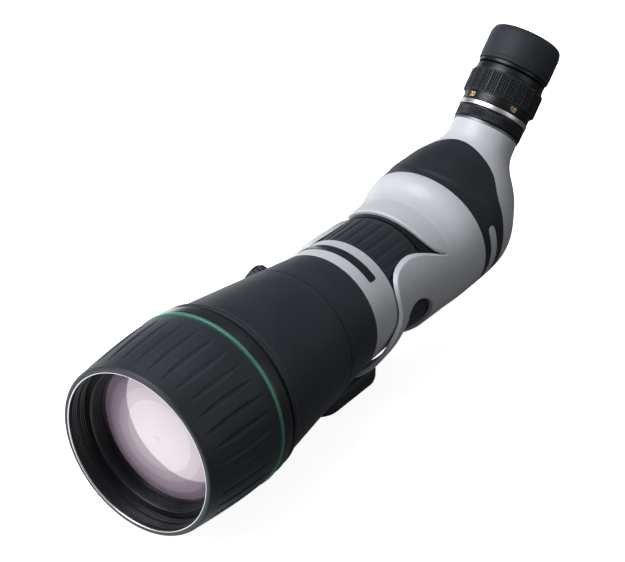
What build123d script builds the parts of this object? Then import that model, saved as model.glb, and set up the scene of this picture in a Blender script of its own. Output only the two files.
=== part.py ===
from build123d import *
from math import cos, sin, radians, sqrt
import os

os.makedirs("parts", exist_ok=True)

# An angled spotting scope, 80 mm aperture. Millimetres.
# Sub-parts are drawn with the optical axis on Y, stations counted from the front rim (y = 0)
# and z = 0 on the axis. +X is the right-hand side for a person looking into the eyepiece.
# export() then moves everything so that the origin is the mouth of the tripod socket.

# overall
axis_height = 58.0          # optical axis above the base of the foot
socket_station = 172.0      # tripod socket behind the front rim
eye_angle = 45.0            # eyepiece axis above the optical axis
knee = 285.2                # station where the two axes cross

# clearances
run_gap = 0.05              # radial gap of a running fit
slide_gap = 0.3             # free gap between parts on different bodies
part_gap = 0.4              # visible gap between neighbouring covers
seat_gap = 0.02             # gap between parts that are glued or screwed together

# sunshade
shade_length = 56.0
shade_front_radius = 50.2
shade_rear_radius = 53.2
shade_bore = 46.6
shade_wall = 2.0
flute_count = 30
flute_length = 38.0
flute_depth = 0.9
flute_radius = 3.2
flute_middle = 29.0
flute_lean = 2.6
flute_rise = 0.9            # share of the sunshade's flare reached at the flutes' middle

# objective
clear_aperture = 80.0
lens_edge = 2.0             # lens rim outside the clear aperture
lens_station = 18.0
crown_thickness = 10.0
flint_thickness = 5.0
lens_air_gap = 1.2
lens_front_curve = 190.0    # radii of curvature, positive bulges forwards
crown_rear_curve = -280.0
flint_front_curve = -270.0
flint_rear_curve = -900.0
lens_lip = 3.0              # shoulder that the flint rests on
spacer_width = 1.2
retainer_width = 2.0
retainer_steps = 3
retainer_pitch = 1.4
cell_wall = 2.0
cell_front = 13.0
rim_height = 0.8            # bright rim ring
rim_overhang = 0.9
accent_width = 2.0
accent_radius = 53.6
gloss_band_width = 8.2
gloss_band_radius = 52.9
gloss_band_wall = 3.0

# barrel
cone_gap = 2.4              # bare barrel between the gloss band and the armour
cone_front_radius = 51.2
cone_rear = 165.2
cone_rear_radius = 37.5
armour = 2.5                # rubber armour thickness
barrel_wall = 2.5
journal_radius = 33.0
journal_wall = 3.5
collar_length = 30.0
lip_width = 3.6             # raised lip at the front of the armour
lip_height = 0.9
baffle_depth = 8.0

# name ring and focus
name_ring_rear = 187.9
name_ring_rear_radius = 36.4
badge_front = 173.6
badge_rear = 180.2
badge_half_angle = 45.0
badge_depth = 0.8
name_seat = 34.0            # radius that the name ring sits on
rear_tube_radius = 31.4
rear_tube_wall = 3.4
focus_rear = 221.5
focus_ring_wall = 1.6
focus_grip_radius = 35.4
focus_ribs = 30
scallop_radius = 2.4
scallop_depth = 0.65
pin_station = 204.0
focus_cell_half = 5.0
focus_cell_wall = 3.5
focus_front_curve = -120.0
focus_rear_curve = 160.0
focus_travel = 5.0

# rear housing: centre station, centre height, tilt and radius of each round section
housing_front = 222.0
housing_front_radius = 38.4
housing_wall = 6.0
sleeve_rear = 241.0
sleeve_rear_radius = 38.6
bead_radius = 1.1
# round sections of the bulge: distance before the knee, height, lean and radius
body_sections = [(36.2, 0.7, 3.5, 39.3), (26.2, 2.4, 10.0, 40.8), (14.2, 5.0, 18.0, 42.6)]
# and of the neck: distance along the eyepiece axis, offset from it, lean and radius
neck_sections = [(9.0, 3.4, 31.0, 42.8), (20.0, 3.0, 41.0, 40.2), (32.0, 2.0, 45.0, 34.8),
                 (42.0, 1.0, 45.0, 28.4), (50.0, 0.2, 45.0, 22.9), (57.5, 0.0, 45.0, 20.8)]
arm_front_radius = 42.4
arm_front_overlap = 0.7     # how far the arms reach over the tripod collar
band_before_knee = 15.7     # front edge of the rubber band at axis height
band_lean = 0.125           # how far it comes forward for each millimetre of height
bar_before_knee = 7.8
bar_length = 42.0
bar_width = 6.0
casting_gap = 0.15          # between the sleeve's inner curve and the straight casting
neck_bore = 17.6
skin = 2.6                  # soft cover over the die-cast housing
casting_wall = 2.6
neck_top = 65.2             # along the eyepiece axis
neck_radius = 20.4

# prisms
prism_width = 30.0
prism_entry = 236.0

# eyepiece, stations along its own axis
lock_ring_end = 74.3
chrome_end = 77.4
scale_end = 83.2
grip_end = 98.2
collar_end = 103.6
cup_end = 128.2
zoom_radius = 21.2
zoom_grip_radius = 22.1
zoom_rib_height = 1.1
zoom_ribs = 24
cup_radius = 22.6
eye_tube_radius = 17.0
eye_tube_wall = 2.6
zoom_travel = 3.0
zoom_cell_a = 84.0          # the two zoom cells
zoom_cell_b = 96.0
zoom_cell_wall = 2.4
zoom_front_curve = -60.0
zoom_rear_curve = 60.0
grip_wall = 1.3
guide_rear = 118.0          # end of the tube that the eyecup slides on
guide_radius = 17.6
guide_bore = 16.0
eye_front_curve = 38.0
eye_rear_curve = -52.0
carrier_wall = 1.2
carrier_length = 7.0
cup_sleeve_wall = 1.2

# foot
foot_half_width = 15.0
foot_front = -28.0          # from the socket
foot_rear = 35.0
foot_thickness = 8.0
pad_thickness = 2.0
socket_radius = 2.6         # minor radius of a 1/4-20 thread
socket_depth = 9.0
bush_radius = 6.0
pedestal_width = 17.0
pedestal_depth = 22.0
screw_spread = 6.0

# lock knob
knob_radius = 9.6
knob_height = 6.6
knob_tilt = 162.0           # direction round the optical axis
knob_reach = 47.4
stud_radius = 3.0
boss_radius = 7.0
shoe_radius = 4.4
shoe_base = 30.0
shoe_height = 5.4
knob_ribs = 18
knob_rib_cut = 1.5

nodes = {}


def cone_radius(station):
    """Outer radius of the armoured cone at a station."""
    share = (station - cone_front) / (cone_rear - cone_front)
    return cone_front_radius + share * (cone_rear_radius - cone_front_radius)


def profile(points, corner=0.0):
    """Closed flat outline from (station, radius) points, with rounded corners."""
    face = make_face(Polyline([(radius, station) for station, radius in points], close=True))
    return fillet(face.vertices(), corner) if corner else face


def turned(points, corner=0.0):
    """Solid of revolution about Y."""
    return revolve(profile(points, corner), Axis.Y)


def ring(front, rear, inner, outer, corner=0.0):
    return turned([(front, inner), (rear, inner), (rear, outer), (front, outer)], corner)


def disc(front, rear, radius, corner=0.0):
    solid = turned([(front, 0), (rear, 0), (rear, radius), (front, radius)])
    return fillet(solid.edges().filter_by(GeomType.CIRCLE), corner) if corner else solid


def around_axis(solid, angle):
    """Turn a part round the optical axis, so that its +X side points to the angle."""
    return Rot(0, -angle, 0) * solid


def on_eye_axis(solid):
    return Pos(0, knee, 0) * Rot(eye_angle, 0, 0) * solid


def side_cut(outline, reach=70.0):
    """Prism through the whole width from a closed (station, height) outline."""
    return extrude(Plane.YZ * make_face(outline), amount=reach, both=True)


def keep(name, solid):
    nodes[name] = solid


def lens(front, centre_thickness, radius, front_curve, rear_curve):
    """Glass between two spherical faces; positive curves bulge forwards."""
    front_arc = RadiusArc((0, front), (radius, front + sag(front_curve, radius)), -front_curve)
    rear = front + centre_thickness
    rear_arc = RadiusArc((radius, rear + sag(rear_curve, radius)), (0, rear), rear_curve)
    edge = Line(front_arc @ 1, rear_arc @ 0)
    axis_line = Line(rear_arc @ 1, front_arc @ 0)
    return revolve(make_face([front_arc, edge, rear_arc, axis_line]), Axis.Y)


def sag(curve, radius):
    depth = abs(curve) - sqrt(curve * curve - radius * radius)
    return depth if curve > 0 else -depth


# sunshade

shade_tube_radius = shade_bore + shade_wall


def make_sunshade():
    keep("sunshade_tube", ring(rim_height, shade_length, shade_bore, shade_tube_radius))
    keep("rim_ring", ring(0, rim_height - seat_gap, shade_bore, shade_tube_radius + rim_overhang))
    inner = shade_tube_radius + seat_gap
    front = inner + rim_overhang
    rear = shade_rear_radius - 0.5
    lip = Spline((front, rim_height), (shade_front_radius, 4.2), (shade_rear_radius, shade_length - 9),
                 (rear, shade_length))
    walls = Polyline((rear, shade_length), (inner, shade_length), (inner, rim_height), (front, rim_height))
    grip = revolve(make_face([lip, walls]), Axis.Y)
    reach = flute_length / 2 / sqrt(flute_depth / flute_radius)
    middle_radius = shade_front_radius + flute_rise * (shade_rear_radius - shade_front_radius)
    bow = Pos(middle_radius + flute_radius - flute_depth, flute_middle, 0)
    leaf = ThreePointArc((0, -reach), (flute_radius, 0), (0, reach))
    cutter = bow * Rot(0, 0, -flute_lean) * revolve(make_face([leaf, Line((0, reach), (0, -reach))]), Axis.Y)
    cutters = [around_axis(cutter, 360 / flute_count * i) for i in range(flute_count)]
    keep("sunshade_grip", grip - cutters)


# objective

lens_radius = clear_aperture / 2 + lens_edge
cell_radius = shade_bore - run_gap
flint_station = lens_station + crown_thickness + lens_air_gap
cell_shoulder = flint_station + flint_thickness + 2.0
accent_front = shade_length + part_gap
band_front = accent_front + accent_width
band_rear = band_front + gloss_band_width
band_seat = gloss_band_radius - gloss_band_wall
cone_front = band_rear + cone_gap


def make_objective():
    lens_seat = lens_radius + seat_gap
    cell_bore = cell_radius - cell_wall
    lip_rear = cell_shoulder + lens_lip
    lip_bore = lens_radius - lens_lip
    cell = turned([(cell_front, lens_seat), (cell_shoulder, lens_seat), (cell_shoulder, lip_bore),
                   (lip_rear, lip_bore), (lip_rear, cell_bore), (band_rear, cell_bore),
                   (band_rear, band_seat), (band_front, band_seat), (band_front, cell_radius),
                   (cell_front, cell_radius)])
    groove = ring(cell_front + 4, cell_front + 6.4, cell_radius - 1.0, cell_radius + 1)
    keep("objective_cell", cell - groove)
    keep("friction_ring", ring(cell_front + 4.1, cell_front + 6.3, cell_radius - 1.0 + seat_gap,
                               cell_radius - 0.01))
    keep("accent_ring", ring(accent_front, band_front - seat_gap, cell_radius + seat_gap, accent_radius, 0.3))
    keep("gloss_band", ring(band_front, band_rear, band_seat + seat_gap, gloss_band_radius, 0.7))
    keep("crown_lens", lens(
        lens_station, crown_thickness, lens_radius, lens_front_curve, crown_rear_curve))
    keep("flint_lens", lens(
        flint_station, flint_thickness, lens_radius, flint_front_curve, flint_rear_curve))
    spacer_bore = lens_radius - spacer_width
    spacer_front = lens_station + crown_thickness + sag(crown_rear_curve, spacer_bore) + seat_gap
    spacer_rear = flint_station + sag(flint_front_curve, lens_radius) - seat_gap
    keep("lens_spacer", ring(spacer_front, spacer_rear, spacer_bore, lens_radius))
    bore = lens_radius - retainer_width
    edge = lens_station + sag(lens_front_curve, bore) - seat_gap
    steps = [(edge, lens_radius), (edge, bore), (edge - 2, bore + 0.4)]
    for step in range(retainer_steps):
        station = edge - 2 - retainer_pitch * step
        radius = bore + 1 + 0.35 * step
        steps += [(station, radius), (station - retainer_pitch, radius)]
    steps += [(edge - 2 - retainer_pitch * retainer_steps, lens_radius)]
    keep("lens_retainer", turned(steps))


# barrel and tripod collar

collar_front = cone_rear - collar_length
armour_rear = collar_front - part_gap
tube_flange = cone_rear + part_gap
housing_wall_rear = housing_front + housing_wall
focus_middle = (name_ring_rear + focus_rear) / 2
journal_bore = journal_radius - journal_wall
rear_tube_bore = rear_tube_radius - rear_tube_wall


def make_barrel():
    front = band_rear + seat_gap
    barrel_end = collar_front - part_gap / 2
    skin_front = cone_front_radius - armour
    skin_rear = cone_radius(barrel_end) - armour
    keep("main_barrel", turned([
        (front, skin_front - barrel_wall), (armour_rear - 4, skin_rear - barrel_wall),
        (armour_rear, journal_bore), (tube_flange, journal_bore), (tube_flange, journal_radius),
        (barrel_end, journal_radius), (barrel_end, skin_rear),
        (cone_front, skin_front), (front, skin_front)]))
    lip_end = cone_front + lip_width
    keep("barrel_armour", turned([
        (cone_front, skin_front + seat_gap), (armour_rear, cone_radius(armour_rear) - armour + seat_gap),
        (armour_rear, cone_radius(armour_rear)), (lip_end + lip_height, cone_radius(lip_end + lip_height)),
        (lip_end, cone_front_radius + lip_height), (cone_front, cone_front_radius + lip_height)], 0.18))
    baffle = (band_rear + armour_rear) / 2
    bore = skin_front - barrel_wall + (baffle - front) / (armour_rear - 4 - front) * (skin_rear - skin_front)
    keep("light_baffle", turned([(baffle, bore - 0.4), (baffle + 1.2, bore - 0.6), (baffle + 1.2, bore - 3),
                                 (baffle + 0.6, bore - baffle_depth), (baffle, bore - 3)]))


def knob_rod(low, high, radius):
    """Round bar along the lock knob's axis, between two distances from the optical axis."""
    rod = Cylinder(radius, high - low, align=(Align.CENTER, Align.CENTER, Align.MIN))
    return around_axis(Pos(0, knob_station, 0) * Rot(0, 90, 0) * Pos(0, 0, low) * rod, knob_tilt)


def make_collar():
    front, rear = collar_front, cone_rear - part_gap
    bore = journal_radius + run_gap
    outer_front = cone_radius(front) - armour
    outer_rear = cone_radius(rear) - armour
    band = turned([(front, bore), (rear, bore), (rear, outer_rear), (front, outer_front)])
    solid_core = disc(front, rear, bore)
    foot_slot = pedestal_block()
    boss = knob_rod(20, knob_seat, boss_radius)
    stud_hole = knob_rod(0, 70, stud_radius + run_gap)
    shoe_hole = knob_rod(shoe_base, shoe_base + shoe_height + 0.2, shoe_radius + 0.1)
    keep("collar_ring", band + boss - solid_core - stud_hole - shoe_hole - foot_slot)
    cover = turned([(front, outer_front + seat_gap), (rear, outer_rear + seat_gap),
                    (rear, cone_radius(rear)), (front, cone_radius(front))])
    keep("collar_armour", cover - knob_rod(20, 80, boss_radius + run_gap) - foot_slot)
    keep("brake_shoe", knob_rod(shoe_base, shoe_base + shoe_height, shoe_radius) - solid_core)


# foot

pedestal_centre = (collar_front + cone_rear) / 2
knob_station = cone_rear - knob_radius - 0.8
knob_seat = knob_reach - knob_height - 0.3


def pedestal_block():
    """Neck that flares from the collar down to the foot plate."""
    top = -axis_height + pad_thickness + foot_thickness
    low = Plane.XY.offset(top - 5) * Pos(0, pedestal_centre + 12) * SlotOverall(46, 21, rotation=90)
    mid = Plane.XY.offset(top + 3.5) * Pos(0, pedestal_centre + 0.5) * SlotOverall(26, 18, rotation=90)
    high = Plane.XY.offset(armour - cone_radius(pedestal_centre) + 2) * Pos(0, pedestal_centre) * SlotOverall(
        pedestal_depth, pedestal_width, rotation=90)
    return loft([low, mid, high])


def make_foot():
    base = -axis_height + pad_thickness
    centre = socket_station + (foot_front + foot_rear) / 2
    length = foot_rear - foot_front
    plate = extrude(Plane.XY.offset(base) * Pos(0, centre) * Rot(0, 0, 90) *
                    SlotOverall(length, 2 * foot_half_width), foot_thickness)
    plate = fillet(plate.edges().group_by(Axis.Z)[-1], 4.0)
    hollow = disc(collar_front - 5, cone_rear + 5, journal_radius + 1.5)
    bush_hole = Pos(0, socket_station, base) * Cylinder(bush_radius + seat_gap, socket_depth, align=(
        Align.CENTER, Align.CENTER, Align.MIN))
    screw_holes = [Pos(0, pedestal_centre + shift, base) * Cylinder(1.6, 40, align=(
        Align.CENTER, Align.CENTER, Align.MIN)) for shift in (-screw_spread, screw_spread)]
    head_holes = [Pos(0, pedestal_centre + shift, base) * Cylinder(3.0, 6, align=(
        Align.CENTER, Align.CENTER, Align.MIN)) for shift in (-screw_spread, screw_spread)]
    keep("foot", plate + pedestal_block() - hollow - bush_hole - screw_holes - head_holes)
    pad = extrude(Plane.XY.offset(-axis_height) * Pos(0, centre) * Rot(0, 0, 90) *
                  SlotOverall(length - 1.2, 2 * foot_half_width - 1.2), pad_thickness - seat_gap)
    bush_height = socket_depth + pad_thickness - 0.3
    bush = Pos(0, socket_station, -axis_height) * Cylinder(bush_radius, bush_height, align=(
        Align.CENTER, Align.CENTER, Align.MIN))
    bore = Pos(0, socket_station, -axis_height) * Cylinder(socket_radius, socket_depth, align=(
        Align.CENTER, Align.CENTER, Align.MIN))
    keep("foot_pad", pad - Pos(0, socket_station, -axis_height) * Cylinder(bush_radius + seat_gap, 10))
    keep("socket_bush", bush - bore)
    screws = []
    for shift in (-screw_spread, screw_spread):
        place = Pos(0, pedestal_centre + shift, base + 0.5)
        head = Cylinder(2.8, 3.0, align=(Align.CENTER, Align.CENTER, Align.MIN))
        shank = Pos(0, 0, 2.5) * Cylinder(1.5, 17.5, align=(Align.CENTER, Align.CENTER, Align.MIN))
        socket = extrude(RegularPolygon(1.25, 6), 1.8)
        screws.append(place * (head + shank - socket))
    keep("foot_screws", Compound(children=screws))


def make_lock_knob():
    place = Pos(0, knob_station, 0) * Rot(0, 90, 0)
    base = knob_reach - knob_height
    body = Cylinder(knob_radius - 1.2, knob_height - 1.0, align=(Align.CENTER, Align.CENTER, Align.MIN))
    body = Pos(0, 0, base) * fillet(body.edges().group_by(Axis.Z)[-1], 1.0)
    bore = Pos(0, 0, base - 1) * Cylinder(stud_radius + seat_gap, 5.0, align=(
        Align.CENTER, Align.CENTER, Align.MIN))
    keep("lock_knob", around_axis(place * (body - bore), knob_tilt))
    sleeve = Pos(0, 0, base + 0.6) * Cylinder(knob_radius, knob_height - 3.4, align=(
        Align.CENTER, Align.CENTER, Align.MIN))
    core = Pos(0, 0, base) * Cylinder(knob_radius - 1.2 + seat_gap, knob_height, align=(
        Align.CENTER, Align.CENTER, Align.MIN))
    ribs = [Rot(0, 0, 360 / knob_ribs * i) * Pos(knob_radius + 0.9, 0, base + knob_height / 2) *
            Cylinder(knob_rib_cut, 30) for i in range(knob_ribs)]
    keep("knob_grip", around_axis(place * (sleeve - core - ribs), knob_tilt))
    keep("lock_stud", knob_rod(shoe_base + shoe_height + 0.6, base + 3.8, stud_radius))


# name ring and focus

def name_radius(station):
    share = (station - cone_rear) / (name_ring_rear - cone_rear)
    return cone_rear_radius + share * (name_ring_rear_radius - cone_rear_radius)


def badge_block(inset):
    """Curved slot shape over the top of the name ring."""
    front, rear = badge_front + inset, badge_rear - inset
    floor = inset * 0.2 - badge_depth
    top = 1 - inset * 5
    band = turned([(front, name_radius(front) + floor), (rear, name_radius(rear) + floor),
                   (rear, name_radius(rear) + top), (front, name_radius(front) + top)])
    half = radians(badge_half_angle) - inset / name_radius(front)
    side, height = 60 * sin(half), 60 * cos(half)
    slice_face = make_face(Polyline((0, 0), (side, -height), (0, -120), (-side, -height), close=True))
    return band & (Pos(0, front - 1, 0) * Rot(-90, 0, 0) * extrude(slice_face, rear - front + 2))


def make_focus():
    flange_rear = name_ring_rear - 1.4
    keep("rear_tube", turned([
        (cone_rear - 12, journal_bore - 2.2), (cone_rear - 12, journal_bore - seat_gap),
        (tube_flange + seat_gap, journal_bore - seat_gap), (tube_flange + seat_gap, name_seat),
        (flange_rear, name_seat), (flange_rear, rear_tube_radius), (housing_wall_rear, rear_tube_radius),
        (housing_wall_rear, rear_tube_bore), (cone_rear + 2, rear_tube_bore)]) - focus_slot())
    name = turned([(tube_flange, name_seat + seat_gap), (name_ring_rear, name_seat + seat_gap),
                   (name_ring_rear, name_ring_rear_radius), (tube_flange, name_radius(tube_flange))], 0.35)
    keep("name_ring", name - badge_block(0.0))
    keep("badge_plate", badge_block(0.15))
    focus_front = name_ring_rear + slide_gap
    bore = rear_tube_radius + run_gap
    core = bore + focus_ring_wall
    relief = ring(pin_station - focus_travel - 3, pin_station + focus_travel + 3, bore - 1, bore + 0.75)
    keep("focus_ring", ring(focus_front, focus_rear, bore, core) - relief)
    grip = ring(focus_front + 0.3, focus_rear - 0.3, core + seat_gap, focus_grip_radius, 0.5)
    rod = Rot(90, 0, 0) * Cylinder(scallop_radius, focus_rear - focus_front - 7.3)
    scallop = Pos(focus_grip_radius + scallop_radius - scallop_depth, focus_middle, 0) * rod
    keep("focus_grip", grip - [around_axis(scallop, 360 / focus_ribs * i) for i in range(focus_ribs)])
    outer = rear_tube_bore - run_gap
    inner = outer - focus_cell_wall
    cell_rear = pin_station + focus_cell_half
    cell = ring(pin_station - focus_cell_half, cell_rear, inner, outer)
    shoulder = ring(cell_rear - 1.6, cell_rear, inner - 1.5, inner)
    pin_hole = around_axis(Pos(0, pin_station, 0) * Rot(0, 90, 0) * Pos(0, 0, rear_tube_bore - 3) *
                           Cylinder(1.25, 8, align=(Align.CENTER, Align.CENTER, Align.MIN)), -90)
    keep("focus_cell", cell + shoulder - pin_hole)
    keep("focus_lens", lens(
        pin_station - 1.5, 3.0, inner - seat_gap, focus_front_curve, focus_rear_curve))
    keep("focus_pin", around_axis(Pos(0, pin_station, 0) * Rot(0, 90, 0) * Pos(0, 0, rear_tube_bore - 2.6) *
                                  Cylinder(1.2, 6.4, align=(Align.CENTER, Align.CENTER, Align.MIN)), -90))


def focus_slot():
    """Straight key slot under the tube, which the cam pin slides along."""
    slot = Plane.XY * Pos(0, pin_station) * SlotOverall(2 * focus_travel + 3.4, 2.8, rotation=90)
    return extrude(slot, -60)


# rear housing

def housing_sections(inset):
    """Round sections along the bent centre line, each shrunk by the inset."""
    rows = [(sleeve_rear, 0.0, 0.0, sleeve_rear_radius)]
    for before_knee, height, lean, radius in body_sections:
        rows.append((knee - before_knee, height, lean, radius))
    bend = radians(eye_angle)
    for along, shift, lean, radius in neck_sections + [(neck_top, 0.0, eye_angle, neck_radius)]:
        y = knee + along * cos(bend) - shift * sin(bend)
        z = along * sin(bend) + shift * cos(bend)
        rows.append((y, z, lean, radius))
    for y, z, lean, radius in rows:
        normal = Vector(0, cos(radians(lean)), sin(radians(lean)))
        yield Plane((0, y, z), x_dir=(1, 0, 0), z_dir=normal) * Circle(radius - inset)


def housing_form(inset):
    return loft(list(housing_sections(inset)))


def casting_front(inset):
    """Straight front part of the housing form, from its front wall to the start of the bend."""
    return turned([(housing_front, 0), (sleeve_rear, 0), (sleeve_rear, sleeve_rear_radius - inset),
                   (housing_front, housing_front_radius - inset)])


def sleeve_line(inset):
    """Side view of the sleeve's wall: the arms flare towards the front."""
    front = cone_rear - arm_front_overlap
    flare = arm_front_radius - housing_front_radius
    span = housing_front - front
    bend = [(housing_front_radius + share * flare - inset, front + part * span)
            for share, part in ((1.0, 0.0), (0.7, 0.2), (0.3, 0.443), (0.05, 0.704))]
    bend += [(housing_front_radius - inset, housing_front), (sleeve_rear_radius - inset, sleeve_rear)]
    return Spline(*bend, tangents=((-0.1, 1), (0.02, 1)))


def arm_sleeve():
    """Sleeve in front of the bend that the two side arms and the finger windows are cut from."""
    outer, inner = sleeve_line(0.0), sleeve_line(skin)
    half = make_face([outer, Line(outer @ 1, inner @ 1), inner, Line(inner @ 0, outer @ 0)])
    return Rot(0, -90, 0) * revolve(half, Axis.Y)


def around_focus(*points):
    """Outline points whose stations are counted from the middle of the focus ring."""
    return [(focus_middle + station, height) for station, height in points]


def window_cuts():
    """Front edge, top window and bottom window of the side arms, seen from the side."""
    arm_top = Spline(*around_focus(
        (33.3, 16.6), (25.0, 20.0), (15.9, 23.6), (7.2, 25.6), (-1.6, 25.6), (-9.7, 24.0), (-15.1, 20.4),
        (-17.5, 14.0), (-17.9, 4.0), (-20.1, -4.0), (-25.7, -11.0), (-32.2, -21.0), (-37.2, -33.0),
        (-38.7, -45.0)))
    front = Polyline(*around_focus((-38.7, -45.0), (-54.7, -45.0), (-54.7, 60.0), (19.7, 60.0), (19.7, 40.0)))
    lip = Spline(*around_focus((19.7, 40.0), (20.1, 36.0), (21.9, 30.0), (25.9, 22.6), (33.3, 16.6)))
    lower = Spline(*around_focus(
        (-10.1, -5.0), (-6.2, 1.6), (-0.2, 3.2), (6.3, 1.6), (14.3, -4.6), (17.9, -14.0), (15.9, -28.0),
        (8.3, -46.0)))
    closing = Polyline(*around_focus((8.3, -46.0), (-28.7, -46.0)))
    strap = Spline(*around_focus((-28.7, -46.0), (-26.2, -34.0), (-20.2, -21.0), (-10.1, -5.0)))
    return side_cut([arm_top, front, lip]), side_cut([lower, closing, strap])


def front_side():
    """Everything in front of the band's front edge."""
    reach = 90.0
    edge = knee - band_before_knee
    return side_cut(Polyline((100, reach), (edge - band_lean * reach, reach),
                             (edge + band_lean * reach, -reach), (100, -reach), close=True))


def rear_side():
    """Everything behind the band's curved rear edge."""
    points = [(knee + station, height) for station, height in (
        (23.8, 70), (19.3, 52), (13.6, 39), (7.2, 31), (4.0, 21), (1.8, 9), (1.0, -4), (2.4, -20), (6.8, -36),
        (12.8, -52))]
    edge = Spline(*points)
    behind = Polyline(edge @ 1, (knee + 135, -52), (knee + 135, 140), (knee + 23.8, 140), edge @ 0)
    return side_cut([edge, behind])


def bar_block(inset):
    """Slim upright bar with round ends, on the flank of the housing."""
    shape = Plane.YZ * Pos(knee - bar_before_knee, -1.0) * SlotOverall(
        bar_length - 2 * inset, bar_width - 2 * inset, rotation=94)
    return extrude(shape, amount=60, both=True)


def window_edges(sleeve):
    """Rims of the windows on the outside of the sleeve, without its rear end and its seam."""
    outside = sleeve.faces().sort_by(SortBy.AREA)[-1]
    return [edge for edge in outside.edges()
            if edge.geom_type != GeomType.CIRCLE and edge.bounding_box().size.X > 0.5]


def make_housing():
    outer, mid = housing_form(0.0), housing_form(skin)
    inner = housing_form(skin + casting_wall)
    skin_shell = outer - mid
    front, rear = front_side(), rear_side()
    windows = window_cuts()
    sleeve = arm_sleeve() - list(windows)
    sleeve = fillet(window_edges(sleeve), bead_radius)
    keep("housing_cover", (skin_shell & front) + sleeve)
    bars = [bar_block(0.0), bar_block(0.12)]
    band = skin_shell - Pos(0, part_gap / 2, 0) * front - Pos(0, -part_gap / 2, 0) * rear - bars[0]
    keep("housing_band", band)
    neck_cut = Pos(0, knee, 0) * Rot(eye_angle, 0, 0) * Pos(0, neck_top + 49.8, 0) * Box(100, 100, 100)
    keep("neck_cover", (skin_shell & rear) - neck_cut)
    keep("flank_bars", skin_shell & bars[1])
    wall = ring(housing_front, housing_wall_rear, rear_tube_radius + seat_gap,
                housing_front_radius - skin - 1)
    socket_hole = on_eye_axis(disc(30, 80, neck_bore))
    straight = casting_front(skin + casting_gap) - casting_front(skin + casting_wall)
    keep("prism_housing", (mid - inner) + straight + wall - socket_hole - neck_cut)


def make_prisms():
    """Roof prism pair that erects the image and turns it up to the eyepiece."""
    half_height = prism_width / 2
    front_outline = Polyline((prism_entry, -half_height), (prism_entry, half_height),
                             (knee - 12, half_height), (knee + 3, -half_height), close=True)
    front_prism = extrude(Plane.YZ * make_face(front_outline), prism_width / 2, both=True)
    roof_outline = Polyline((knee + 4.2, -half_height), (knee - 10.8, half_height), (knee + 2, 27.8),
                            (knee + 23.2, 6.6), (knee + 16, -12), close=True)
    roof_prism = extrude(Plane.YZ * make_face(roof_outline), prism_width / 2, both=True)
    keep("front_prism", chamfer(front_prism.edges(), 0.5))
    keep("roof_prism", chamfer(roof_prism.edges(), 0.5))
    middle = (prism_entry + knee) / 2 - 4
    cheek = prism_width / 2 + 2.4
    cradle = Pos(0, middle, -half_height - 2.2) * Box(prism_width + 8, 40, 3)
    cheeks = [Pos(side * cheek, middle, -10) * Box(2.0, 40, 16) for side in (-1, 1)]
    keep("prism_cradle", cradle + cheeks)
    strap = Pos(0, prism_entry + 16, half_height + 1.4) * Box(prism_width + 9.6, 8, 1.2)
    legs = [Pos(side * (cheek + 1.8), prism_entry + 16, 1.5) * Box(1.2, 8, 2 * half_height + 1)
            for side in (-1, 1)]
    keep("prism_clip", strap + legs)


# eyepiece

eye_tube_bore = eye_tube_radius - eye_tube_wall


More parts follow.
